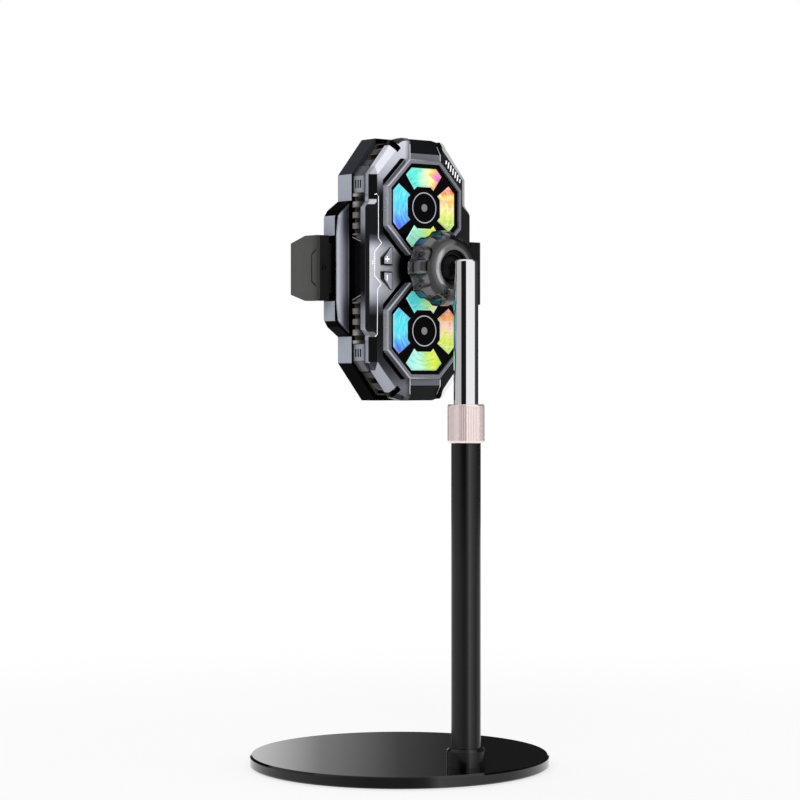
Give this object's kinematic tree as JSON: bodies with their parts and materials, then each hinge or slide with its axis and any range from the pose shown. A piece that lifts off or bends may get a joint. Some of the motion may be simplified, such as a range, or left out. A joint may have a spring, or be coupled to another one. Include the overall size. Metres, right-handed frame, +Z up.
{
  "type": "phone cooling fan",
  "caption": "Phone cooler with ducted fans, heat sink and a spring-loaded rack clamp, held by a ball joint on a telescopic pole over a round weighted base.",
  "frame": {"origin": "centre of the base on the table", "axes": "+Z up along the pole; the fans face -Y and the phone lies on the +Y side; X = 0 is the plane of symmetry of the cooler"},
  "size_m": [0.12, 0.12, 0.2506],
  "materials": {
    "gloss_black": "gloss",
    "black_rubber": "matte",
    "satin_black": "satin",
    "rose_gold": "brushed",
    "chrome": "polished",
    "white_bushing": "satin",
    "steel": "satin",
    "black_plastic": "satin",
    "smoke_nut": "gloss",
    "rear_shell": "metallic paint",
    "bare_aluminium": "satin",
    "contact_grey": "matte",
    "ceramic": "satin",
    "front_shell": "metallic paint",
    "rim_grey": "metallic paint",
    "cover_black": "gloss",
    "window_glass": "lit",
    "light_white": "matte",
    "motor_copper": "satin",
    "silver_ring": "polished",
    "impeller_clear": "gloss",
    "board_green": "satin",
    "button_metal": "metallic paint",
    "black_panel": "gloss",
    "vent_grey": "satin",
    "trim_silver": "metallic paint",
    "jaw_grey": "satin"
  },
  "bodies": {
    "base": {"base_disc": "gloss_black", "base_pad": "black_rubber", "pole_socket": "satin_black", "base_screw": "steel", "lower_tube": "satin_black", "lower_tube_plug": "steel", "collar_bush": "white_bushing"},
    "collar": {"lock_collar": "rose_gold"},
    "slider": {"guide_ring": "white_bushing"},
    "pole": {"upper_tube": "chrome", "head_plug": "chrome", "ball_stud": "satin_black"},
    "ball_rear": {"ball_seat_rear": "black_plastic"},
    "ball_front": {"ball_seat_front": "black_plastic"},
    "cooler": {"ball_socket": "black_plastic", "socket_screws": "steel", "rear_housing": "rear_shell", "cold_plate": "bare_aluminium", "contact_pad": "contact_grey", "cooling_module": "ceramic", "heat_sink": "bare_aluminium", "front_housing": "front_shell", "upper_rim": "rim_grey", "lower_rim": "rim_grey", "upper_fan_cover": "cover_black", "lower_fan_cover": "cover_black", "upper_windows": "window_glass", "lower_windows": "window_glass", "upper_light_ring": "light_white", "lower_light_ring": "light_white", "upper_motor": "motor_copper", "lower_motor": "motor_copper", "upper_hub_ring": "silver_ring", "lower_hub_ring": "silver_ring", "circuit_board": "board_green", "button_switches": "steel", "usb_socket": "steel", "left_side_panel": "black_panel", "right_side_panel": "black_panel", "vent_plates": "vent_grey", "left_wing_trim": "trim_silver", "right_wing_trim": "trim_silver", "housing_screws": "steel", "pinion_spring": "steel"},
    "nut": {"lock_nut": "smoke_nut"},
    "upper_fan": {"upper_impeller": "impeller_clear"},
    "lower_fan": {"lower_impeller": "impeller_clear"},
    "plus": {"plus_button": "button_metal"},
    "minus": {"minus_button": "button_metal"},
    "left_clamp": {"left_arm": "black_plastic", "left_jaw": "jaw_grey", "left_jaw_pad": "black_rubber", "left_jaw_screw": "steel"},
    "right_clamp": {"right_arm": "black_plastic", "right_jaw": "jaw_grey", "right_jaw_pad": "black_rubber", "right_jaw_screw": "steel"},
    "pinion": {"pinion": "white_bushing"}
  },
  "joints": [
    {"name": "collar_turn", "type": "hinge", "parent": "base", "child": "collar", "pos_m": [0, -0.041, 0.138], "axis": [0, 0, 1], "range_deg": [0, 90]},
    {"name": "pole_slide", "type": "slide", "parent": "base", "child": "slider", "axis": [0, 0, 1], "range_m": [-0.035, 0.05]},
    {"name": "pole_swivel", "type": "hinge", "parent": "slider", "child": "pole", "pos_m": [0, -0.041, 0.14], "axis": [0, 0, 1], "continuous": true},
    {"name": "ball_tilt", "type": "hinge", "parent": "pole", "child": "ball_rear", "pos_m": [0, -0.0275, 0.1986], "axis": [1, 0, 0], "range_deg": [-8, 18]},
    {"name": "ball_swivel", "type": "hinge", "parent": "ball_rear", "child": "ball_front", "pos_m": [0, -0.0275, 0.1986], "axis": [0, 0, 1], "range_deg": [-14, 14]},
    {"name": "ball_roll", "type": "hinge", "parent": "ball_front", "child": "cooler", "pos_m": [0, -0.0275, 0.1986], "axis": [0, 1, 0], "continuous": true},
    {"name": "nut_turn", "type": "hinge", "parent": "cooler", "child": "nut", "pos_m": [0, -0.0275, 0.1986], "axis": [0, 1, 0], "range_deg": [0, 90]},
    {"name": "upper_fan_spin", "type": "hinge", "parent": "cooler", "child": "upper_fan", "pos_m": [0, -0.0125, 0.223], "axis": [0, 1, 0], "continuous": true},
    {"name": "lower_fan_spin", "type": "hinge", "parent": "cooler", "child": "lower_fan", "pos_m": [0, -0.0125, 0.1742], "axis": [0, 1, 0], "continuous": true},
    {"name": "plus_press", "type": "slide", "parent": "cooler", "child": "plus", "axis": [0, 1, 0], "range_m": [0, 0.00035], "stiffness_N_per_m": 400, "springref_m": -0.001},
    {"name": "minus_press", "type": "slide", "parent": "cooler", "child": "minus", "axis": [0, 1, 0], "range_m": [0, 0.00035], "stiffness_N_per_m": 400, "springref_m": -0.001},
    {"name": "left_jaw_slide", "type": "slide", "parent": "cooler", "child": "left_clamp", "axis": [-1, 0, 0], "range_m": [-0.0022, 0.008], "stiffness_N_per_m": 150, "springref_m": -0.03},
    {"name": "right_jaw_slide", "type": "slide", "parent": "cooler", "child": "right_clamp", "axis": [1, 0, 0], "range_m": [-0.0022, 0.008]},
    {"name": "pinion_turn", "type": "hinge", "parent": "cooler", "child": "pinion", "pos_m": [0, 0.0024, 0.2176], "axis": [0, 1, 0], "range_deg": [-155, 45]}
  ],
  "couplings": [
    {"joint": "right_jaw_slide", "follows": "left_jaw_slide", "ratio": 1},
    {"joint": "pinion_turn", "follows": "left_jaw_slide", "rad_per_m": -333.33}
  ]
}
